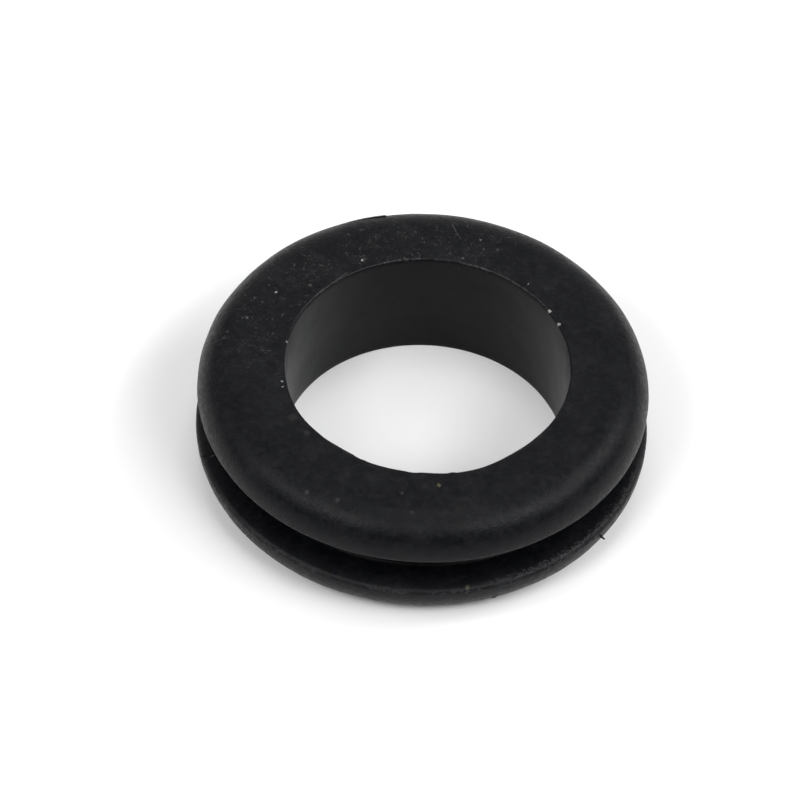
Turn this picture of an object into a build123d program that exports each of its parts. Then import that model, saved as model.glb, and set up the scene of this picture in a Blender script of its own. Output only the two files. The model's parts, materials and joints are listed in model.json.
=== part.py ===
from build123d import *
import os

# Rubber grommet: one moulded ring with a groove that snaps into a round panel hole.
# Frame: origin on the bore's axis at the middle of the groove, +Z along the bore. Millimetres.

# Driving dimensions of the moulded ring
outer_diameter = 30.2
bore_diameter = 19.05
groove_diameter = 25.4  # the panel hole that the grommet seats in
groove_width = 2.7  # the panel that it takes between its flanges
flange_thickness = 3.0  # each of the two flanges

# Radii of the moulded edges, seen in the ring's section
flange_nose_radius = 2.6  # from each flat face round to the flange's widest line
flange_lip_radius = 0.35  # from the widest line round into the groove
groove_root_radius = 0.3
bore_edge_radius = 0.12

# Worked out from the driving dimensions
outer_radius = outer_diameter / 2
bore_radius = bore_diameter / 2
overall_height = 2 * flange_thickness + groove_width
wall = outer_radius - bore_radius
groove_depth = (outer_diameter - groove_diameter) / 2

with BuildPart() as grommet:
    with BuildSketch(Plane.XZ) as section:
        # Half of the ring's section, with the sketch's own Y along the bore: a bar with the
        # groove notched into its outer side
        with Locations((bore_radius + wall / 2, 0)):
            Rectangle(wall, overall_height)
        with Locations((outer_radius - groove_depth / 2, 0)):
            Rectangle(groove_depth, groove_width, mode=Mode.SUBTRACT)

        # Its corners, from the bore outwards: each rounding renews the section's vertices
        bore_edges = section.vertices().group_by(Axis.X)[0]
        fillet(bore_edges, radius=bore_edge_radius)
        groove_roots = section.vertices().group_by(Axis.X)[-2]
        fillet(groove_roots, radius=groove_root_radius)
        lips = section.vertices().group_by(Axis.X)[-1].sort_by(Axis.Y)[1:-1]
        fillet(lips, radius=flange_lip_radius)
        widest = section.vertices().group_by(Axis.X)[-1].sort_by(Axis.Y)
        fillet([widest[0], widest[-1]], radius=flange_nose_radius)
    revolve(axis=Axis.Z)

grommet.part.label = "grommet"

os.makedirs("parts", exist_ok=True)
export_step(grommet.part, "parts/grommet.step")

size = grommet.part.bounding_box().size
print(f"grommet {size.X:.2f} x {size.Y:.2f} x {size.Z:.2f} mm, {grommet.part.volume:.0f} mm3")
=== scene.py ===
import bpy
import bmesh
import json
import math
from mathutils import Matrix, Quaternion, Vector


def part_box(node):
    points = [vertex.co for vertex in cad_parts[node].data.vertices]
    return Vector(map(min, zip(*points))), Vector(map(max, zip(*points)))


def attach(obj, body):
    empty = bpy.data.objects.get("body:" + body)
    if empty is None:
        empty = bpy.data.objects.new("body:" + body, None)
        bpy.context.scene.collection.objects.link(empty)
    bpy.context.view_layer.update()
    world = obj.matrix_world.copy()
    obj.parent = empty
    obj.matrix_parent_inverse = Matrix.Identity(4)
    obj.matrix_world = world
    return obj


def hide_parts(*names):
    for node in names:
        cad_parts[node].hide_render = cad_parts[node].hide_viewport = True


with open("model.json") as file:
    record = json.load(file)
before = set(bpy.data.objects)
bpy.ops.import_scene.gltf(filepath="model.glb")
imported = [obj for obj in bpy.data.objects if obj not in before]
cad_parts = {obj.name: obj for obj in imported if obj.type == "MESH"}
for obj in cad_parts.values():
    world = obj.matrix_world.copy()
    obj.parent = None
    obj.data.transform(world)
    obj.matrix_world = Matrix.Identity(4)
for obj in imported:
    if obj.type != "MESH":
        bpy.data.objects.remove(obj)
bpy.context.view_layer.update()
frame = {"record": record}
mm = 0.001

# The ring's own sizes come from the frame
ringLow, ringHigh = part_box("grommet")
outerRadius = (ringHigh[0] - ringLow[0]) / 2
halfHeight = (ringHigh[2] - ringLow[2]) / 2
boreMount = next(mount for mount in frame["record"]["mounts"] if mount["name"] == "bore")
boreRadius = boreMount["dims"]["r_mm"] * mm
floorHeight = ringLow[2]
print("frame loaded, ring", round(outerRadius / mm, 2), "mm radius")


# Places on the ring: azimuth is in degrees from +X, anticlockwise seen from above

def onRing(azimuth, radius, height):
    angle = math.radians(azimuth)
    return Vector((radius * math.cos(angle), radius * math.sin(angle), height))


def radiusOf(place):
    return math.hypot(place.x, place.y)


def azimuthOf(place):
    return math.degrees(math.atan2(place.y, place.x)) % 360


def azimuthGap(place, azimuth):
    # degrees from an azimuth, between -180 and 180
    return (azimuthOf(place) - azimuth + 180) % 360 - 180


# Picking by place, in edit mode

def nothingSelected():
    for item in bpy.context.selected_objects:
        item.select_set(False)


def pickVerts(item, isWanted):
    bpy.ops.mesh.select_mode(type="VERT")
    bpy.ops.mesh.select_all(action="DESELECT")
    mesh = bmesh.from_edit_mesh(item.data)
    for vert in mesh.verts:
        if isWanted(vert.co):
            vert.select = True
    mesh.select_flush_mode()
    bmesh.update_edit_mesh(item.data)


def pickEdges(item, isWanted):
    bpy.ops.mesh.select_mode(type="EDGE")
    bpy.ops.mesh.select_all(action="DESELECT")
    mesh = bmesh.from_edit_mesh(item.data)
    for edge in mesh.edges:
        if isWanted(edge.verts[0].co, edge.verts[1].co):
            edge.select = True
    mesh.select_flush_mode()
    bmesh.update_edit_mesh(item.data)


def pickFaces(item, isWanted):
    bpy.ops.mesh.select_mode(type="FACE")
    bpy.ops.mesh.select_all(action="DESELECT")
    mesh = bmesh.from_edit_mesh(item.data)
    for face in mesh.faces:
        if isWanted(face.calc_center_median()):
            face.select = True
    mesh.select_flush_mode()
    bmesh.update_edit_mesh(item.data)


# The moulded ring: its section is drawn flat, rounded at its corners and spun about the bore

ring = {
    "grooveDiameter": 25.4 * mm,
    "grooveWidth": 2.7 * mm,
    "noseRadius": 2.6 * mm,
    "lipRadius": 0.35 * mm,
    "rootRadius": 0.3 * mm,
    "boreEdgeRadius": 0.12 * mm,
    "noseSteps": 18,
    "lipSteps": 8,
    "rootSteps": 3,
    "boreEdgeSteps": 4,
    "flatStep": 0.28 * mm,  # between points on the flats, the groove and the bore's wall
    "turnSteps": 700,
}
grooveRadius = ring["grooveDiameter"] / 2
grooveHalf = ring["grooveWidth"] / 2
hair = 0.001 * mm


def isOuter(place):
    return abs(place.x - outerRadius) < hair


def isBore(place):
    return abs(place.x - boreRadius) < hair


def isRoot(place):
    return abs(place.x - grooveRadius) < hair


def isFlat(place):
    # on the top or the bottom face
    return abs(abs(place.z) - halfHeight) < hair


def isGrooveSide(place):
    return abs(abs(place.z) - grooveHalf) < hair


def roundCorners(section, isCorner, radius, steps):
    pickVerts(section, isCorner)
    bpy.ops.mesh.bevel(offset=radius, segments=steps, profile=0.5, affect="VERTICES")


def makeSection():
    wall = outerRadius - boreRadius
    nothingSelected()
    bpy.ops.mesh.primitive_plane_add(
        size=wall, location=(boreRadius + wall / 2, 0, 0), rotation=(math.pi / 2, 0, 0)
    )
    bpy.ops.transform.resize(value=(1, 1, 2 * halfHeight / wall))
    section = bpy.context.object
    section.name = "moulded_ring"
    section.data.name = "moulded_ring"
    bpy.ops.object.transform_apply(location=True, rotation=True, scale=True)
    bpy.ops.object.mode_set(mode="EDIT")

    # Cut the groove's lines across the bar, take the groove out and make the rest one face
    for height in (-grooveHalf, grooveHalf):
        bpy.ops.mesh.select_all(action="SELECT")
        bpy.ops.mesh.bisect(plane_co=(0, 0, height), plane_no=(0, 0, 1))
    bpy.ops.mesh.select_all(action="SELECT")
    bpy.ops.mesh.bisect(plane_co=(grooveRadius, 0, 0), plane_no=(1, 0, 0))
    pickFaces(section, lambda place: place.x > grooveRadius and abs(place.z) < grooveHalf)
    bpy.ops.mesh.delete(type="FACE")
    bpy.ops.mesh.select_all(action="SELECT")
    bpy.ops.mesh.dissolve_faces()
    bpy.ops.mesh.select_all(action="SELECT")
    bpy.ops.mesh.dissolve_limited(angle_limit=math.radians(1))

    roundCorners(section, lambda p: isOuter(p) and isFlat(p), ring["noseRadius"], ring["noseSteps"])
    roundCorners(section, lambda p: isOuter(p) and isGrooveSide(p), ring["lipRadius"], ring["lipSteps"])
    roundCorners(section, lambda p: isRoot(p) and isGrooveSide(p), ring["rootRadius"], ring["rootSteps"])
    roundCorners(section, lambda p: isBore(p) and isFlat(p), ring["boreEdgeRadius"], ring["boreEdgeSteps"])

    # Only the outline is spun. Its straight runs get points too, so that they can be uneven
    bpy.ops.mesh.select_all(action="SELECT")
    bpy.ops.mesh.delete(type="ONLY_FACE")
    for length in straightRuns(section):
        pickEdges(section, lambda a, b: abs((a - b).length - length) < hair)
        bpy.ops.mesh.subdivide(number_cuts=round(length / ring["flatStep"]) - 1)
    return section


def straightRuns(section):
    # the lengths of the section's edges that are long enough to divide, longest first
    mesh = bmesh.from_edit_mesh(section.data)
    lengths = []
    for edge in mesh.edges:
        length = edge.calc_length()
        isNew = all(abs(length - known) > hair for known in lengths)
        if length > 2 * ring["flatStep"] and isNew:
            lengths.append(length)
    return sorted(lengths, reverse=True)


def turnSection(section):
    bpy.ops.object.mode_set(mode="OBJECT")
    screw = section.modifiers.new("turn", "SCREW")
    screw.axis = "Z"
    screw.angle = math.tau
    screw.screw_offset = 0
    screw.steps = ring["turnSteps"]
    screw.render_steps = ring["turnSteps"]
    screw.use_merge_vertices = True
    screw.merge_threshold = hair
    bpy.ops.object.modifier_apply(modifier=screw.name)
    bpy.ops.object.mode_set(mode="EDIT")
    bpy.ops.mesh.select_all(action="SELECT")
    bpy.ops.mesh.remove_doubles(threshold=hair)
    bpy.ops.mesh.normals_make_consistent(inside=False)


grommet = makeSection()
turnSection(grommet)
print("ring spun,", len(grommet.data.polygons), "faces")

# What the press and the knife leave on it: flash, a lifted skin, nicks, and flanges that run out

moulding = {
    "upperRunout": (-0.22 * mm, 0.14 * mm, 0),
    "lowerRunout": (-0.21 * mm, 0.14 * mm, 0),
    "lowerSpread": 1.005,
    "runoutReach": 3.0 * mm,  # how far the shift fades out towards the bore
    "waveSize": 4.5 * mm,
    "waveDepth": 0.1 * mm,
    "smoothAngle": 40,  # degrees, sharper edges stay sharp
    "raggedAzimuth": 318,  # where the lower lip's flash is at its most ragged
}
# Where the knife wandered along the bore's upper rim: azimuth, how far out, how far along
rimWander = [
    (209, 0.07 * mm, 2.2 * mm),
    (238, -0.11 * mm, 1.6 * mm),
    (243.6, 0.05 * mm, 0.35 * mm),
    (266.5, 0.05 * mm, 0.4 * mm),
    (281.8, -0.06 * mm, 0.22 * mm),
    (288, 0.1 * mm, 2.4 * mm),
    (316, -0.08 * mm, 2.4 * mm),
]
skin = {
    "start": 103,
    "end": 113,
    "tornEdge": 0.6,  # degrees from the start that stand up
    "inner": 13.9 * mm,
    "outer": 14.9 * mm,
    "thickness": 0.015 * mm,
    "lift": 0.06 * mm,
}
nib = {
    "azimuth": 291.5,
    "radius": 14.7 * mm,
    "height": -3.1 * mm,
    "outward": 0.75,
    "downward": 0.66,
    "length": 0.09 * mm,
    "reach": 0.4 * mm,
}
# Threads of rubber torn from the parting lines
whiskers = [
    {"azimuth": 324, "radius": 15.08 * mm, "height": -2.05 * mm, "length": 0.3 * mm, "droop": 0.6},
    {"azimuth": 196.5, "radius": 14.75 * mm, "height": -1.36 * mm, "length": 0.4 * mm, "droop": -0.2},
]
whiskerParts = 3
whiskerCurl = 12  # degrees that each part turns from the one before
whiskerTaper = 0.8


def moveSoftly(shift, reach, falloff):
    bpy.ops.transform.translate(
        value=shift,
        use_proportional_edit=True,
        proportional_edit_falloff=falloff,
        proportional_size=reach,
    )


def liftSkin(item):
    # a thin skin over the upper flange that stands up where it was torn and lies down at its far end
    def isOnSkin(place):
        isAlong = skin["start"] < azimuthOf(place) < skin["end"]
        return isAlong and skin["inner"] < radiusOf(place) < skin["outer"] and place.z > grooveHalf

    pickFaces(item, isOnSkin)
    bpy.ops.mesh.extrude_region_move(TRANSFORM_OT_translate={"value": (0, 0, skin["thickness"])})
    bpy.ops.mesh.hide(unselected=True)
    pickVerts(item, lambda place: azimuthOf(place) < skin["start"] + skin["tornEdge"])
    reach = math.radians(skin["end"] - skin["start"]) * skin["outer"]
    moveSoftly((0, 0, skin["lift"]), reach, "SMOOTH")
    bpy.ops.mesh.reveal(select=False)


def pushNib(item):
    place = onRing(nib["azimuth"], nib["radius"], nib["height"])
    pickVerts(item, lambda vert: (vert - place).length < nib["reach"] / 3)
    out = onRing(nib["azimuth"], nib["outward"], -nib["downward"])
    moveSoftly(out * nib["length"], nib["reach"], "SHARP")


def pullWhisker(item, whisker):
    root = onRing(whisker["azimuth"], whisker["radius"], whisker["height"])
    mesh = bmesh.from_edit_mesh(item.data)
    nearest = min(mesh.faces, key=lambda face: (face.calc_center_median() - root).length)
    centre = nearest.calc_center_median()
    pickFaces(item, lambda place: (place - centre).length < hair)
    for part in range(whiskerParts):
        out = onRing(whisker["azimuth"] + whiskerCurl * part, 1, -whisker["droop"])
        step = out * whisker["length"] / whiskerParts
        bpy.ops.mesh.extrude_region_move(TRANSFORM_OT_translate={"value": step})
        bpy.ops.transform.resize(value=(whiskerTaper, whiskerTaper, whiskerTaper))


def wanderRim(item):
    for azimuth, out, reach in rimWander:
        place = onRing(azimuth, boreRadius, halfHeight)
        held = reach / 4 + 0.1 * mm  # what moves the whole way
        pickVerts(item, lambda vert: (vert - place).length < held)
        moveSoftly(onRing(azimuth, out, 0), reach, "SMOOTH")


def runOut(item):
    flangeStart = grooveRadius - ring["rootRadius"]
    for side, shift in ((1, moulding["upperRunout"]), (-1, moulding["lowerRunout"])):
        pickVerts(item, lambda place: radiusOf(place) > flangeStart and place.z * side > grooveHalf - hair)
        moveSoftly(shift, moulding["runoutReach"], "SMOOTH")
    # The lower flange, still selected, also spreads
    spread = moulding["lowerSpread"]
    bpy.ops.transform.resize(
        value=(spread, spread, 1),
        center_override=(0, 0, 0),
        use_proportional_edit=True,
        proportional_edit_falloff="SMOOTH",
        proportional_size=moulding["runoutReach"],
    )


def roughen(item, name, size, depth, weightOf):
    # pushes the skin in and out by a cloudy noise, as far as weightOf allows at each place
    group = item.vertex_groups.new(name=name)
    for vert in item.data.vertices:
        weight = weightOf(vert.co)
        if weight > 0:
            group.add([vert.index], weight, "REPLACE")
    clouds = bpy.data.textures.new(name, "CLOUDS")
    clouds.noise_scale = size
    clouds.noise_depth = 2
    displace = item.modifiers.new(name, "DISPLACE")
    displace.texture = clouds
    displace.texture_coords = "LOCAL"
    displace.vertex_group = name
    displace.mid_level = 0.5
    displace.strength = depth
    bpy.ops.object.modifier_apply(modifier=displace.name)
    item.vertex_groups.remove(item.vertex_groups[name])


def fade(value, middle, halfWidth):
    # 1 at the middle, falling to 0 at halfWidth from it
    return max(0, 1 - abs(value - middle) / halfWidth)


# Flash stands along the flanges' groove-side lips and round the back of the bore's upper rim
flash = {
    "size": 0.4 * mm,
    "lipDepth": 0.13 * mm,
    "lipRadius": 14.95 * mm,
    "lipWidth": 0.35 * mm,
    "lipDrop": 0.12 * mm,  # from the groove's side to the middle of the flash
    "lipHeight": 0.3 * mm,
    "upperShare": 0.4,
    "evenShare": 2 / 3,  # of the lower lip's flash, away from where it is most ragged
    "raggedReach": 35,  # degrees
    "rimDepth": 0.05 * mm,
    "rimOut": 0.04 * mm,
    "rimWidth": 0.22 * mm,
    "rimHeight": 0.25 * mm,
    "rimAzimuth": 100,
    "rimReach": 55,  # degrees
    "thickAzimuth": 128,
    "thickReach": 7,  # degrees
}


def waveWeight(place):
    return min(1, (place.z - ringLow[2]) / mm)  # none underneath, where it lies on the floor


def fadeRound(place, azimuth, reach):
    return max(0, 1 - abs(azimuthGap(place, azimuth)) / reach)


def lipFlashWeight(place):
    lower = fade(place.z, -grooveHalf - flash["lipDrop"], flash["lipHeight"])
    upper = flash["upperShare"] * fade(place.z, grooveHalf + flash["lipDrop"], flash["lipHeight"])
    ragged = 1 + fadeRound(place, moulding["raggedAzimuth"], flash["raggedReach"])
    onLip = fade(radiusOf(place), flash["lipRadius"], flash["lipWidth"])
    return min(1, (lower * ragged + upper) * onLip * flash["evenShare"])


def rimFlashWeight(place):
    onRim = fade(radiusOf(place), boreRadius + flash["rimOut"], flash["rimWidth"])
    onTop = fade(place.z, halfHeight, flash["rimHeight"])
    around = fadeRound(place, flash["rimAzimuth"], flash["rimReach"])
    thick = fadeRound(place, flash["thickAzimuth"], flash["thickReach"])
    return onRim * onTop * min(1, around + thick)


liftSkin(grommet)
pushNib(grommet)
for whisker in whiskers:
    pullWhisker(grommet, whisker)
wanderRim(grommet)
runOut(grommet)
bpy.ops.object.mode_set(mode="OBJECT")
roughen(grommet, "wave", moulding["waveSize"], moulding["waveDepth"], waveWeight)
roughen(grommet, "lip_flash", flash["size"], flash["lipDepth"], lipFlashWeight)
roughen(grommet, "rim_flash", flash["size"], flash["rimDepth"], rimFlashWeight)
bpy.ops.object.shade_smooth_by_angle(angle=math.radians(moulding["smoothAngle"]))
print("ring marked,", len(grommet.data.polygons), "faces")

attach(grommet, "root")
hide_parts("grommet")

# Building blocks for the node trees

def feed(tree, socket, value):
    # a socket is linked, a number, vector or colour is set
    if isinstance(value, bpy.types.NodeSocket):
        tree.links.new(value, socket)
    else:
        socket.default_value = value


def maths(tree, operation, *values):
    node = tree.nodes.new("ShaderNodeMath")
    node.operation = operation
    for socket, value in zip(node.inputs, values):
        feed(tree, socket, value)
    return node.outputs["Value"]


def scaled(tree, value, scale, start=0):
    # start plus scale times the value
    return maths(tree, "MULTIPLY_ADD", value, scale, start)


def product(tree, first, *others):
    for other in others:
        first = maths(tree, "MULTIPLY", first, other)
    return first


def added(tree, first, *others):
    for other in others:
        first = maths(tree, "ADD", first, other)
    return first


def vectorMaths(tree, operation, *values):
    node = tree.nodes.new("ShaderNodeVectorMath")
    node.operation = operation
    for socket, value in zip(node.inputs, values):
        feed(tree, socket, value)
    isNumber = operation in ("LENGTH", "DOT_PRODUCT", "DISTANCE")
    return node.outputs["Value" if isNumber else "Vector"]


def ramp(tree, value, start, end):
    # 0 at start and 1 at end, eased
    node = tree.nodes.new("ShaderNodeMapRange")
    node.interpolation_type = "SMOOTHSTEP"
    feed(tree, node.inputs["Value"], value)
    feed(tree, node.inputs["From Min"], start)
    feed(tree, node.inputs["From Max"], end)
    return node.outputs["Result"]


def band(tree, value, middle, halfWidth):
    # 1 at the middle of a band, 0 outside it
    away = maths(tree, "ABSOLUTE", maths(tree, "SUBTRACT", value, middle))
    return ramp(tree, away, halfWidth, 0)


def noise(tree, place, size, detail):
    node = tree.nodes.new("ShaderNodeTexNoise")
    feed(tree, node.inputs["Vector"], place)
    feed(tree, node.inputs["Scale"], maths(tree, "DIVIDE", 1, size))
    feed(tree, node.inputs["Detail"], detail)
    return node


def cells(tree, place, size, dimensions):
    node = tree.nodes.new("ShaderNodeTexVoronoi")
    node.voronoi_dimensions = dimensions
    feed(tree, node.inputs["Vector"], place)
    feed(tree, node.inputs["Scale"], maths(tree, "DIVIDE", 1, size))
    return node


def splitXyz(tree, vector):
    node = tree.nodes.new("ShaderNodeSeparateXYZ")
    feed(tree, node.inputs["Vector"], vector)
    return node.outputs["X"], node.outputs["Y"], node.outputs["Z"]


def joinXyz(tree, x, y, z):
    node = tree.nodes.new("ShaderNodeCombineXYZ")
    for socket, value in zip(node.inputs, (x, y, z)):
        feed(tree, socket, value)
    return node.outputs["Vector"]


def mixColours(tree, factor, first, second):
    node = tree.nodes.new("ShaderNodeMix")
    node.data_type = "RGBA"
    firstColour, secondColour = node.inputs[6:8]  # its two colour sockets, after its numbers and vectors
    feed(tree, node.inputs["Factor"], factor)
    feed(tree, firstColour, first)
    feed(tree, secondColour, second)
    return node.outputs[2]


def newGroup(name, inputs, outputs):
    # inputs are names with their default, a number or a vector; outputs are all numbers
    group = bpy.data.node_groups.new(name, "ShaderNodeTree")
    for socketName, value in inputs.items():
        kind = "NodeSocketVector" if isinstance(value, tuple) else "NodeSocketFloat"
        socket = group.interface.new_socket(socketName, in_out="INPUT", socket_type=kind)
        socket.default_value = value
    for socketName in outputs:
        group.interface.new_socket(socketName, in_out="OUTPUT", socket_type="NodeSocketFloat")
    given = group.nodes.new("NodeGroupInput").outputs
    result = group.nodes.new("NodeGroupOutput").inputs
    return group, given, result


def useGroup(tree, group, **values):
    node = tree.nodes.new("ShaderNodeGroup")
    node.node_tree = group
    for name, value in values.items():
        feed(tree, node.inputs[name.capitalize()], value)
    return node.outputs


# Shared effects. Every place and size in them is in millimetres. A pair called a range is where a mask is
# empty and where it is full

origin = (0, 0, 0)
halfGrey = (0.5, 0.5, 0.5)  # the middle of a noise's colour


def pushed(tree, place, size, reach):
    # a place pushed about by a noise, by up to half of reach each way
    wobble = vectorMaths(tree, "SUBTRACT", noise(tree, place, size, 2).outputs["Color"], halfGrey)
    return vectorMaths(tree, "ADD", place, vectorMaths(tree, "MULTIPLY", wobble, (reach, reach, reach)))


grainShape = {"wideness": 2.5, "toneRange": (0.3, 0.7)}


def makeGrain():
    # the fine cast of the mould: a height for the bump, and a cloudy tone
    group, given, result = newGroup("mould_grain", {"Place": origin, "Size": 0.2}, ["Height", "Tone"])
    fine = noise(group, given["Place"], given["Size"], 2).outputs["Fac"]
    wideSize = scaled(group, given["Size"], grainShape["wideness"])
    wide = noise(group, given["Place"], wideSize, 3).outputs["Fac"]
    group.links.new(scaled(group, added(group, fine, wide), 0.5), result["Height"])
    group.links.new(ramp(group, wide, *grainShape["toneRange"]), result["Tone"])
    return group


bloomShape = {
    "patchRange": (0.45, 0.75),
    "thickRange": (0.38, 0.62),  # where flecks gather
    "fleckSize": 0.09,  # as a share of the patches' size
    "fleckRange": (0.58, 0.72),
    "tintSize": 0.3,
    "tintShift": (7, 3, 5),  # so that the tint doesn't follow the patches
    "tintRange": (0.35, 0.65),
}


def makeBloom():
    # the grey wax that rubber sweats out: soft patches, and flecks that gather where it is thick
    group, given, result = newGroup("bloom", {"Place": origin, "Size": 1.5}, ["Mask", "Flecks", "Tint"])
    patches = noise(group, given["Place"], given["Size"], 5).outputs["Fac"]
    group.links.new(ramp(group, patches, *bloomShape["patchRange"]), result["Mask"])
    fleckSize = scaled(group, given["Size"], bloomShape["fleckSize"])
    crumbled = noise(group, given["Place"], fleckSize, 3).outputs["Fac"]
    flecks = ramp(group, crumbled, *bloomShape["fleckRange"])
    thick = ramp(group, patches, *bloomShape["thickRange"])
    group.links.new(product(group, flecks, thick), result["Flecks"])
    elsewhere = vectorMaths(group, "ADD", given["Place"], bloomShape["tintShift"])
    tint = noise(group, elsewhere, bloomShape["tintSize"], 2).outputs["Fac"]
    group.links.new(ramp(group, tint, *bloomShape["tintRange"]), result["Tint"])
    return group


dustShape = {
    "wobbleSize": 0.12,
    "wobbleReach": 0.14,
    "smallest": 0.3,  # as a share of the speck's size, as are the next two
    "sizeSpread": 0.9,
    "core": 0.5,
}


def makeDust():
    # specks of uneven size, one at most to a cell
    inputs = {"Place": origin, "Cell": 0.6, "Speck": 0.08, "Share": 0.5}
    group, given, result = newGroup("dust", inputs, ["Mask"])
    place = pushed(group, given["Place"], dustShape["wobbleSize"], dustShape["wobbleReach"])
    voronoi = cells(group, place, given["Cell"], "3D")
    chance, lot = splitXyz(group, voronoi.outputs["Color"])[:2]
    distance = product(group, voronoi.outputs["Distance"], given["Cell"])
    size = scaled(group, lot, dustShape["sizeSpread"], dustShape["smallest"])
    radius = product(group, given["Speck"], size)
    shape = ramp(group, distance, radius, product(group, radius, dustShape["core"]))
    isThere = maths(group, "LESS_THAN", chance, given["Share"])
    group.links.new(product(group, shape, isThere), result["Mask"])
    return group


lintShape = {
    "crinkleSize": 0.35,
    "crinkleReach": 0.5,
    "bow": 4,  # how far apart the most and the least bowed hairs are
    "shortest": 0.15,  # as a share of the length, as is the next
    "lengthSpread": 0.35,
    "wornSize": 0.2,
    "wornRange": (0.38, 0.6),
}


def makeLint():
    # short curled hairs lying on a level face, each turned its own way
    inputs = {"Place": origin, "Cell": 1.2, "Length": 0.7, "Width": 0.05, "Share": 0.5}
    group, given, result = newGroup("lint", inputs, ["Mask"])
    bent = pushed(group, given["Place"], lintShape["crinkleSize"], lintShape["crinkleReach"])
    voronoi = cells(group, bent, given["Cell"], "2D")
    chance, lot, curl = splitXyz(group, voronoi.outputs["Color"])
    x, y = splitXyz(group, vectorMaths(group, "SUBTRACT", bent, voronoi.outputs["Position"]))[:2]

    # each hair's own axes, and its bow across them
    angle = scaled(group, lot, math.tau)
    cosine = maths(group, "COSINE", angle)
    sine = maths(group, "SINE", angle)
    along = added(group, product(group, x, cosine), product(group, y, sine))
    across = maths(group, "SUBTRACT", product(group, y, cosine), product(group, x, sine))
    bow = product(group, along, along, scaled(group, curl, lintShape["bow"], -lintShape["bow"] / 2))

    line = band(group, added(group, across, bow), 0, given["Width"])
    lengthShare = scaled(group, curl, lintShape["lengthSpread"], lintShape["shortest"])
    half = product(group, given["Length"], lengthShare)
    ends = maths(group, "LESS_THAN", maths(group, "ABSOLUTE", along), half)
    isThere = maths(group, "LESS_THAN", chance, given["Share"])
    wear = noise(group, given["Place"], lintShape["wornSize"], 2).outputs["Fac"]
    worn = ramp(group, wear, *lintShape["wornRange"])
    group.links.new(product(group, line, ends, worn, isThere), result["Mask"])
    return group


lineCore = 0.4  # how much of a line's width is full


def makeLine():
    # one straight mark from start to end
    inputs = {"Place": origin, "Start": origin, "End": (1, 0, 0), "Width": 0.06}
    group, given, result = newGroup("line_mark", inputs, ["Mask"])
    reach = vectorMaths(group, "SUBTRACT", given["Place"], given["Start"])
    run = vectorMaths(group, "SUBTRACT", given["End"], given["Start"])
    reachAlongRun = vectorMaths(group, "DOT_PRODUCT", reach, run)
    share = maths(group, "DIVIDE", reachAlongRun, vectorMaths(group, "DOT_PRODUCT", run, run))
    held = maths(group, "MINIMUM", maths(group, "MAXIMUM", share, 0), 1)
    nearest = vectorMaths(group, "MULTIPLY", run, joinXyz(group, held, held, held))
    distance = vectorMaths(group, "DISTANCE", reach, nearest)
    core = product(group, given["Width"], lineCore)
    group.links.new(ramp(group, distance, given["Width"], core), result["Mask"])
    return group


# Where a place is on the ring. Heights are measured from the face or edge that each one is named after

bore = boreRadius / mm
top = halfHeight / mm
lip = grooveHalf / mm
zoneShape = {
    "topRange": (-0.9, -0.2),  # from the top face
    "lowRange": (-0.1, -0.9),  # from the groove's lower side
    "wallRange": (0.14, 0.04),  # out from the bore
    "shelfHeight": 0.3,
    "shelfRange": (13.4, 14.9),  # radius
    "streakSize": 0.25,
    "streakSlope": 0.12,  # the streaks are this much finer across than along
}


def makeZones():
    # masks for the top, the lower flange's side, the bore's wall and the groove's lower face
    masks = ["Top", "Low", "Wall", "Groove", "Streak"]
    group, given, result = newGroup("ring_zones", {"Place": origin}, masks)
    x, y, z = splitXyz(group, given["Place"])
    radius = vectorMaths(group, "LENGTH", joinXyz(group, x, y, 0))
    aboveTop = added(group, z, -top)
    aboveShelf = added(group, z, lip)
    group.links.new(ramp(group, aboveTop, *zoneShape["topRange"]), result["Top"])
    group.links.new(ramp(group, aboveShelf, *zoneShape["lowRange"]), result["Low"])
    group.links.new(ramp(group, added(group, radius, -bore), *zoneShape["wallRange"]), result["Wall"])
    # the groove's lower face, fuller towards its outer edge: the mask for the painted light there
    onShelf = band(group, aboveShelf, 0, zoneShape["shelfHeight"])
    group.links.new(product(group, onShelf, ramp(group, radius, *zoneShape["shelfRange"])), result["Groove"])

    # the core pin drew faint lines down the bore
    drawn = joinXyz(group, x, y, product(group, z, zoneShape["streakSlope"]))
    group.links.new(noise(group, drawn, zoneShape["streakSize"], 2).outputs["Fac"], result["Streak"])
    return group


# Shapes of the pale flash and of the painted highlights on the rims and lips
flashAndHighlightLook = {
    "brokenSize": 0.22,
    "brokenRange": (0.42, 0.62),
    "patchySize": 1.8,
    "patchyRange": (0.36, 0.56),
    "rimOut": 0.06,
    "rimWidth": 0.12,
    "rimRange": (-0.2, -0.02),  # from the top face
    "backRange": (0.35, 0.75),  # sine of the azimuth
    "rimEven": 0.14,
    "raggedRange": (0.8, 0.97),  # cosine of the angle from the most ragged place
    "wobbleEven": 0.6,
    "lipDrop": 0.13,
    "lipHeight": 0.16,
    "lipBroken": 0.7,
    "lipEven": 0.12,
    "lipRange": (14.5, 14.8),  # radius
    "tornHeight": 0.3,
    "tornRadius": 14.64,
    "tornWidth": 0.14,
    "tornRange": (0.3, 0.48),
    "tornAmount": 1.1,
    "upperDrop": 0.12,
    "upperHeight": 0.2,
    "upperAmount": 0.4,
}


def facing(group, place, radius, azimuth):
    # cosine of the angle between a place's azimuth and the one given
    side = math.radians(azimuth)
    towards = vectorMaths(group, "DOT_PRODUCT", place, (math.cos(side), math.sin(side), 0))
    return maths(group, "DIVIDE", towards, radius)


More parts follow.
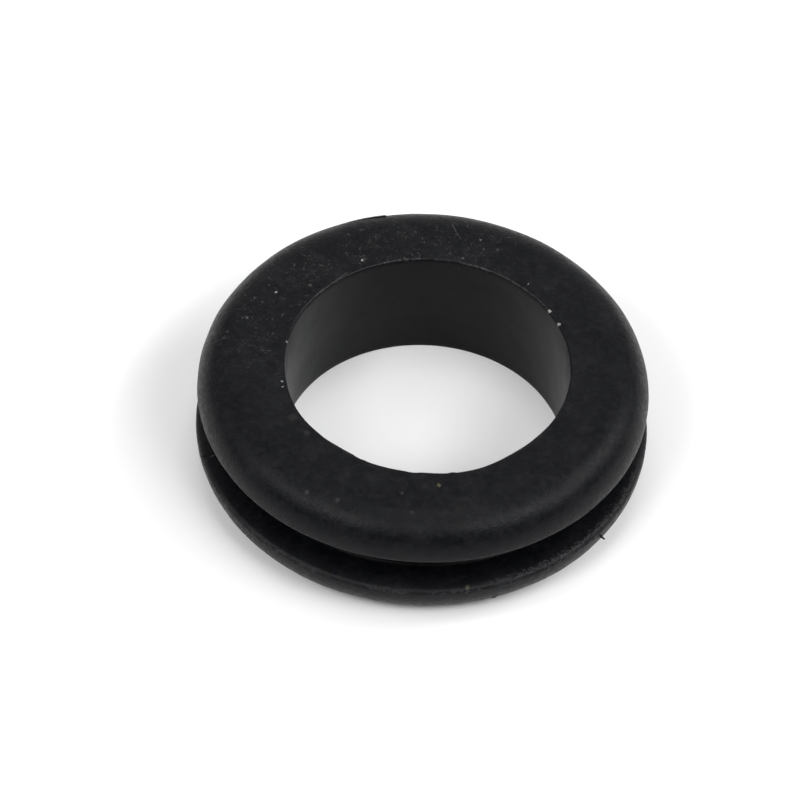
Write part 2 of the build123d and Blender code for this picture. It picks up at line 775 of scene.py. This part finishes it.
def makeFlashAndHighlight():
    # the pale flash along the bore's upper rim and the flanges' lips, which comes and goes, with painted
    # highlights along the same rims and lips
    group, given, result = newGroup("edge_flash_and_highlight", {"Place": origin}, ["Rim", "Lip"])
    place = given["Place"]
    x, y, z = splitXyz(group, place)
    radius = vectorMaths(group, "LENGTH", joinXyz(group, x, y, 0))
    broken = noise(group, place, flashAndHighlightLook["brokenSize"], 3).outputs["Fac"]
    patchy = noise(group, place, flashAndHighlightLook["patchySize"], 2).outputs["Fac"]
    brokenUp = ramp(group, broken, *flashAndHighlightLook["brokenRange"])
    comesAndGoes = product(group, brokenUp, ramp(group, patchy, *flashAndHighlightLook["patchyRange"]))

    onEdge = band(group, radius, bore + flashAndHighlightLook["rimOut"], flashAndHighlightLook["rimWidth"])
    onRim = product(group, onEdge, ramp(group, added(group, z, -top), *flashAndHighlightLook["rimRange"]))
    # The rim line is pale all round and patchy-bright at the back, where the rim's rounded edge catches the
    # light: partly flash, partly painted highlight
    atBack = ramp(group, maths(group, "DIVIDE", y, radius), *flashAndHighlightLook["backRange"])
    rimAmount = added(group, product(group, comesAndGoes, atBack), flashAndHighlightLook["rimEven"])
    group.links.new(product(group, onRim, rimAmount), result["Rim"])

    # the lower lip has a thin pale line all round, partly flash and partly a painted highlight along the
    # lip's rounded edge, and a wider torn band of flash where it is ragged
    raggedSide = facing(group, place, radius, moulding["raggedAzimuth"])
    ragged = ramp(group, raggedSide, *flashAndHighlightLook["raggedRange"])
    wobble = product(group, added(group, broken, -0.5), added(group, ragged, flashAndHighlightLook["wobbleEven"]))
    line = band(group, added(group, z, wobble), -lip - flashAndHighlightLook["lipDrop"], flashAndHighlightLook["lipHeight"])
    lineAmount = scaled(group, comesAndGoes, flashAndHighlightLook["lipBroken"], flashAndHighlightLook["lipEven"])
    onShelf = band(group, z, -lip, flashAndHighlightLook["tornHeight"])
    onBand = band(group, added(group, radius, wobble), flashAndHighlightLook["tornRadius"], flashAndHighlightLook["tornWidth"])
    torn = product(group, onShelf, onBand, ragged, ramp(group, broken, *flashAndHighlightLook["tornRange"]))
    # a thin even line on the upper lip: a painted highlight along its rounded edge
    onUpper = band(group, z, lip + flashAndHighlightLook["upperDrop"], flashAndHighlightLook["upperHeight"])
    lines = added(group, product(group, line, lineAmount), product(group, onUpper, flashAndHighlightLook["upperAmount"]))
    lines = product(group, lines, ramp(group, radius, *flashAndHighlightLook["lipRange"]))
    group.links.new(added(group, lines, product(group, torn, flashAndHighlightLook["tornAmount"])), result["Lip"])
    return group


driftShape = {
    "azimuth": 122,
    "range": (0.1, 0.98),  # cosine of the angle from the dustiest side
    "clumpSize": 1.3,
    "clumpRange": (0.46, 0.62),
    "clumpRadius": (13.2, 11),
}


def makeDrift():
    # more dust lies on the back left, and it clumps towards the bore
    group, given, result = newGroup("dust_drift", {"Place": origin}, ["Dusty", "Clump"])
    place = given["Place"]
    x, y = splitXyz(group, place)[:2]
    radius = vectorMaths(group, "LENGTH", joinXyz(group, x, y, 0))
    dustySide = facing(group, place, radius, driftShape["azimuth"])
    group.links.new(ramp(group, dustySide, *driftShape["range"]), result["Dusty"])
    cloudy = noise(group, place, driftShape["clumpSize"], 2).outputs["Fac"]
    clumped = ramp(group, cloudy, *driftShape["clumpRange"])
    inwards = ramp(group, radius, *driftShape["clumpRadius"])
    group.links.new(product(group, clumped, inwards), result["Clump"])
    return group


# Rubber

rubberLook = {
    "black": (0.0016, 0.0019, 0.003, 1),
    "coolHaze": (0.019, 0.021, 0.027, 1),
    "warmHaze": (0.025, 0.023, 0.02, 1),
    # pale colour of the flash and of the painted highlights on the rims and lips
    "flash": (0.05, 0.05, 0.052, 1),
    "flashAndHighlightAmount": 0.7,
    "dust": (0.3, 0.295, 0.285, 1),
    "grit": (0.17, 0.15, 0.095, 1),
    "roughness": 0.4,
    "hazeRoughness": 0.25,
    "dustRoughness": 0.4,
    "glossWander": 0.12,
    "borePolish": 0.08,  # how much smoother the core pin left the bore
    "boreStreaks": 0.1,
    "specular": 0.128,
    "hazeAmount": 0.17,
    "toneAmount": 0.1,
    # painted light on the groove's lower face, paler towards its outer edge
    "paintedGrooveLight": 0.2,
    "wideBloom": 2.2,  # mm, as are the sizes below
    "fineBloom": 0.6,
    "grainSize": 0.13,
    "grainDepth": 0.045,
    "boreGrain": 0.3,  # how much of the grain is left in the bore
    "dustRelief": 2,
}
# How much haze and dust each part of the ring has gathered; lowShade is painted shade, less haze and dust on
# the lower flange's side and underside so that they read darker
hazeCoverAndShade = {"bore": 0.1, "sides": 0.6, "top": 0.25, "lowShade": 0.55}
motes = {"cell": 0.36, "speck": 0.05, "share": 0.45}
crumbs = {"cell": 1.0, "speck": 0.1, "share": 0.5}
hairs = {"cell": 1.0, "length": 0.9, "width": 0.035, "share": 0.4}
fluff = {"cell": 0.5, "length": 0.45, "width": 0.03, "share": 0.3}
# How bright each kind of dust is everywhere, and how much brighter on the dusty side
dustAmounts = {"motes": (0.02, 0.07), "crumbs": (0.03, 0.2), "flecks": (0.015, 0.09), "lint": (0.01, 0.2)}
clumpedFlecks = 1.6
looseFlecks = 0.5
# Specks big enough to have a place of their own: azimuth, radius, height and size in mm, brightness
paleSpecks = [
    (117.6, 10.33, 4.35, 0.12, 1.3),
    (150.8, 11.94, 4.35, 0.11, 1.2),
    (74.7, 12.0, 4.35, 0.1, 1.1),
    (50.1, 10.09, 4.35, 0.095, 0.9),
    (34.0, 9.6, 4.33, 0.18, 1.8),
    (26.0, 9.6, 4.33, 0.17, 1.8),
    (171.6, 9.55, 4.32, 0.11, 1.1),
    (192.7, 9.84, 4.35, 0.12, 1.2),
    (195.5, 9.9, 4.35, 0.09, 0.8),
    (237.1, 13.72, 4.04, 0.2, 0.08),
    (246.0, 13.35, 4.2, 0.22, 0.05),
    (211.5, 10.2, 4.35, 0.42, 0.03),
    (220.8, 10.2, 4.35, 0.3, 0.035),
    (263.8, 11.5, 4.35, 0.16, 0.06),
    (267.7, 13.0, 4.3, 0.2, 0.045),
    (156.8, 12.3, 4.35, 0.14, 0.1),
    (164.8, 12.7, 4.34, 0.16, 0.16),
    (170.9, 13.6, 4.1, 0.16, 0.16),
    (141.0, 10.5, 4.35, 0.16, 0.15),
    (262.0, 15.05, 2.25, 0.12, 0.1),
]
yellowSpecks = [
    (276.2, 10.64, 4.35, 0.19, 0.4),
    (283.2, 14.75, -1.42, 0.2, 0.3),
]
# Scratches and hairs: start and end as azimuth, radius and height, then width and brightness
scratches = [
    ((84.9, 12.97, 4.35), (83.2, 12.28, 4.35), 0.05, 0.12),
    ((83.2, 12.28, 4.35), (81.0, 11.62, 4.35), 0.05, 0.07),
    ((132.0, 9.68, 4.35), (125.6, 9.78, 4.35), 0.05, 0.09),
    ((196.2, 14.55, -1.35), (197.2, 15.15, -1.45), 0.06, 0.25),
]


def inMm(azimuth, radius, height):
    return tuple(onRing(azimuth, radius, height))


speckShape = {"wobbleSize": 0.14, "wobbleReach": 0.25, "core": 0.45}


def addSpecks(tree, place, specks):
    total = 0
    for azimuth, radius, height, size, brightness in specks:
        distance = vectorMaths(tree, "DISTANCE", place, inMm(azimuth, radius, height))
        mark = product(tree, ramp(tree, distance, size, size * speckShape["core"]), brightness)
        total = maths(tree, "MAXIMUM", total, mark)
    return total


def addScratches(tree, place):
    lineGroup = makeLine()
    total = 0
    for start, end, width, brightness in scratches:
        mark = useGroup(tree, lineGroup, place=place, start=inMm(*start), end=inMm(*end), width=width)
        total = maths(tree, "MAXIMUM", total, product(tree, mark["Mask"], brightness))
    return total


def addDust(tree, place, top, flecks):
    # motes, crumbs, flecks of bloom and lint, thicker on the dusty side of the top
    drift = useGroup(tree, makeDrift(), place=place)
    dustySide = product(tree, drift["Dusty"], top)
    dustGroup = makeDust()
    lintGroup = makeLint()
    longLint = useGroup(tree, lintGroup, place=place, **hairs)["Mask"]
    shortLint = useGroup(tree, lintGroup, place=place, **fluff)["Mask"]
    masks = {
        "motes": useGroup(tree, dustGroup, place=place, **motes)["Mask"],
        "crumbs": useGroup(tree, dustGroup, place=place, **crumbs)["Mask"],
        "flecks": product(tree, flecks, scaled(tree, drift["Clump"], clumpedFlecks, looseFlecks)),
        "lint": added(tree, longLint, shortLint),
    }
    total = 0
    for kind, (everywhere, onDustySide) in dustAmounts.items():
        amount = scaled(tree, dustySide, onDustySide, everywhere)
        total = maths(tree, "MULTIPLY_ADD", masks[kind], amount, total)
    return total


def makeRubber():
    material = bpy.data.materials.new("black_rubber")
    material.use_nodes = True
    tree = material.node_tree
    shader = tree.nodes["Principled BSDF"]
    coordinates = tree.nodes.new("ShaderNodeTexCoord").outputs["Object"]
    place = vectorMaths(tree, "MULTIPLY", coordinates, (1 / mm, 1 / mm, 1 / mm))

    zones = useGroup(tree, makeZones(), place=place)
    edges = useGroup(tree, makeFlashAndHighlight(), place=place)
    grain = useGroup(tree, makeGrain(), place=place, size=rubberLook["grainSize"])
    bloomGroup = makeBloom()
    wideBloom = useGroup(tree, bloomGroup, place=place, size=rubberLook["wideBloom"])
    fineBloom = useGroup(tree, bloomGroup, place=place, size=rubberLook["fineBloom"])

    # The bore is cleaner than the top. The lower flange's side is darkened by painted shade
    offWall = maths(tree, "SUBTRACT", 1, zones["Wall"])
    coverAndShade = product(tree, offWall, scaled(tree, zones["Top"], hazeCoverAndShade["top"], hazeCoverAndShade["sides"]))
    coverAndShade = added(tree, coverAndShade, hazeCoverAndShade["bore"])
    coverAndShade = product(tree, coverAndShade, scaled(tree, zones["Low"], -hazeCoverAndShade["lowShade"], 1))

    # Haze, then flash and painted highlights, then dust and marks, each over the one before
    patches = added(tree, wideBloom["Mask"], fineBloom["Mask"])
    tone = scaled(tree, grain["Tone"], rubberLook["toneAmount"])
    haze = scaled(tree, patches, rubberLook["hazeAmount"], tone)
    haze = product(tree, haze, coverAndShade)
    # Painted light: the groove's lower face is made paler towards its outer edge, where light reaches past
    # the upper flange
    haze = scaled(tree, zones["Groove"], rubberLook["paintedGrooveLight"], haze)
    hazeColour = mixColours(tree, wideBloom["Tint"], rubberLook["coolHaze"], rubberLook["warmHaze"])
    colour = mixColours(tree, haze, rubberLook["black"], hazeColour)
    flashAndHighlightMask = maths(tree, "MAXIMUM", edges["Rim"], edges["Lip"])
    flashAndHighlightMask = product(tree, flashAndHighlightMask, rubberLook["flashAndHighlightAmount"])
    colour = mixColours(tree, flashAndHighlightMask, colour, rubberLook["flash"])

    flecks = added(tree, wideBloom["Flecks"], fineBloom["Flecks"])
    pale = product(tree, addDust(tree, place, zones["Top"], flecks), coverAndShade)
    pale = maths(tree, "MAXIMUM", pale, addScratches(tree, place))
    crumbled = pushed(tree, place, speckShape["wobbleSize"], speckShape["wobbleReach"])
    pale = maths(tree, "MAXIMUM", pale, addSpecks(tree, crumbled, paleSpecks))
    colour = mixColours(tree, pale, colour, rubberLook["dust"])
    colour = mixColours(tree, addSpecks(tree, crumbled, yellowSpecks), colour, rubberLook["grit"])
    feed(tree, shader.inputs["Base Color"], colour)

    roughness = scaled(tree, haze, rubberLook["hazeRoughness"], rubberLook["roughness"])
    roughness = scaled(tree, pale, rubberLook["dustRoughness"], roughness)
    wander = product(tree, added(tree, grain["Tone"], -0.5), rubberLook["glossWander"], offWall)
    streaks = added(tree, zones["Streak"], -0.5)
    streaks = scaled(tree, streaks, rubberLook["boreStreaks"], -rubberLook["borePolish"])
    roughness = added(tree, roughness, wander, product(tree, streaks, zones["Wall"]))
    feed(tree, shader.inputs["Roughness"], roughness)
    shader.inputs["Specular IOR Level"].default_value = rubberLook["specular"]

    bump = tree.nodes.new("ShaderNodeBump")
    bump.inputs["Distance"].default_value = rubberLook["grainDepth"] * mm
    cast = scaled(tree, offWall, 1 - rubberLook["boreGrain"], rubberLook["boreGrain"])
    relief = scaled(tree, pale, rubberLook["dustRelief"], product(tree, grain["Height"], cast))
    feed(tree, bump.inputs["Height"], relief)
    feed(tree, shader.inputs["Normal"], bump.outputs["Normal"])
    return material


grommet.data.materials.append(makeRubber())
print("rubber made")

# Floor, light and camera

studio = {
    "floorSize": 3,
    "floorRoughness": 0.8,
    "floorSpecular": 0.1,
    "floorColour": (0.91, 0.91, 0.91, 1),
    "worldStrength": 0.05,
    "boxDistance": 0.6,
}
# Each softbox: its elevation and azimuth seen from the ring, its width and its power in watts
softboxes = {
    "overhead": {"elevation": 82, "azimuth": 90, "width": 0.25, "power": 0.65},
    "high_front": {"elevation": 66, "azimuth": 270, "width": 0.4, "power": 0.26},
    "left": {"elevation": 38, "azimuth": 193, "width": 0.22, "power": 0.82},
    "front_left": {"elevation": 47, "azimuth": 231, "width": 0.22, "power": 1.32},
    "front_right": {"elevation": 48.5, "azimuth": 314, "width": 0.22, "power": 1.22},
    "right": {"elevation": 43, "azimuth": 342, "width": 0.22, "power": 0.92},
    "far_right": {"elevation": 38, "azimuth": 18, "width": 0.22, "power": 1.1},
    "back_left": {"elevation": 38, "azimuth": 150, "width": 0.5, "power": 0.4},
    "back": {"elevation": 28, "azimuth": 90, "width": 0.5, "power": 0.65},
    "back_right": {"elevation": 38, "azimuth": 40, "width": 0.5, "power": 0.2},
}


def makeFloor():
    nothingSelected()
    bpy.ops.mesh.primitive_plane_add(size=studio["floorSize"], location=(0, 0, floorHeight))
    floor = bpy.context.object
    floor.name = "floor"
    material = bpy.data.materials.new("floor_paper")
    material.use_nodes = True
    shader = material.node_tree.nodes["Principled BSDF"]
    shader.inputs["Base Color"].default_value = studio["floorColour"]
    shader.inputs["Roughness"].default_value = studio["floorRoughness"]
    shader.inputs["Specular IOR Level"].default_value = studio["floorSpecular"]
    floor.data.materials.append(material)


def addSoftbox(name, box):
    data = bpy.data.lights.new(name, "AREA")
    data.shape = "SQUARE"
    data.size = box["width"]
    data.energy = box["power"]
    lamp = bpy.data.objects.new(name, data)
    bpy.context.scene.collection.objects.link(lamp)
    elevation = math.radians(box["elevation"])
    out = onRing(box["azimuth"], math.cos(elevation), math.sin(elevation))
    lamp.location = out * studio["boxDistance"]
    lamp.rotation_mode = "QUATERNION"
    lamp.rotation_quaternion = (-out).to_track_quat("-Z", "Y")


def makeLight():
    world = bpy.data.worlds.new("studio")
    bpy.context.scene.world = world
    world.use_nodes = True
    background = world.node_tree.nodes["Background"]
    background.inputs["Color"].default_value = (1, 1, 1, 1)
    background.inputs["Strength"].default_value = studio["worldStrength"]
    for name, box in softboxes.items():
        addSoftbox(name, box)


cameraSetup = {
    "elevation": 48.72,  # degrees above the floor
    "distance": 453 * mm,  # from the middle of the ring's underside
    "aim": (-1.73 * mm, 0.31 * mm, 0.29 * mm),
    "lens": 301.8,  # mm, as is the sensor
    "roll": 2.74,  # degrees, so that the ring's right side sits lower
    "sensor": 36,
    "clipStart": 10 * mm,
    "clipEnd": 10,
}


def makeCamera():
    angle = math.radians(cameraSetup["elevation"])
    away = Vector((0, -math.cos(angle), math.sin(angle)))
    place = Vector((0, 0, floorHeight)) + away * cameraSetup["distance"]
    data = bpy.data.cameras.new("camera")
    data.lens = cameraSetup["lens"]
    data.sensor_width = cameraSetup["sensor"]
    data.clip_start = cameraSetup["clipStart"]
    data.clip_end = cameraSetup["clipEnd"]
    camera = bpy.data.objects.new("camera", data)
    bpy.context.scene.collection.objects.link(camera)
    camera.location = place
    camera.rotation_mode = "QUATERNION"
    level = (Vector(cameraSetup["aim"]) - place).to_track_quat("-Z", "Y")
    camera.rotation_quaternion = level @ Quaternion((0, 0, 1), math.radians(cameraSetup["roll"]))
    bpy.context.scene.camera = camera


makeFloor()
makeLight()
makeCamera()
scene = bpy.context.scene
scene.view_settings.view_transform = "Standard"
scene.view_settings.look = "None"
print("studio set")
